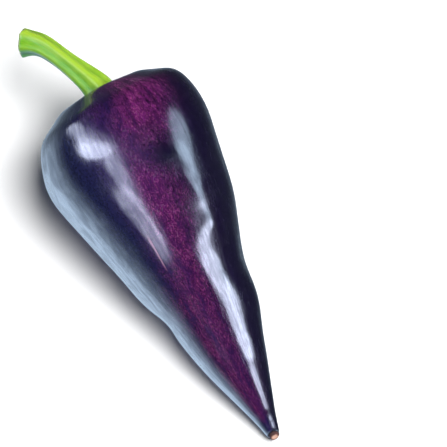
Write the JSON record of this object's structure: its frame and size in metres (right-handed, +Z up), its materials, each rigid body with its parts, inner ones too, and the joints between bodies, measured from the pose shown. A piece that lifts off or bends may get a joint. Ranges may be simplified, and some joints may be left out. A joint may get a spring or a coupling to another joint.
{
  "type": "sweet pepper",
  "caption": "Whole violet sweet pepper as picked: a lobed, tapering fruit with a sunken crown, a bent green ribbed stalk and a dry scar at the tip, lying on its side.",
  "frame": {"origin": "centre of the bounding box in plan, at the height of the surface that the pepper lies on", "axes": "+Z up, +X from the crown and stalk towards the tip, +Y across"},
  "size_m": [0.15, 0.058, 0.0538],
  "materials": {
    "violet_skin": "waxy glossy pepper skin, deep violet to navy with wine-red streaks",
    "green_stalk": "fresh yellow-green stalk and calyx, satin, ribbed",
    "dry_scar": "dry brown cork, matt"
  },
  "bodies": {
    "root": {"fruit": "violet_skin", "stalk": "green_stalk", "style_scar": "dry_scar"}
  },
  "joints": []
}
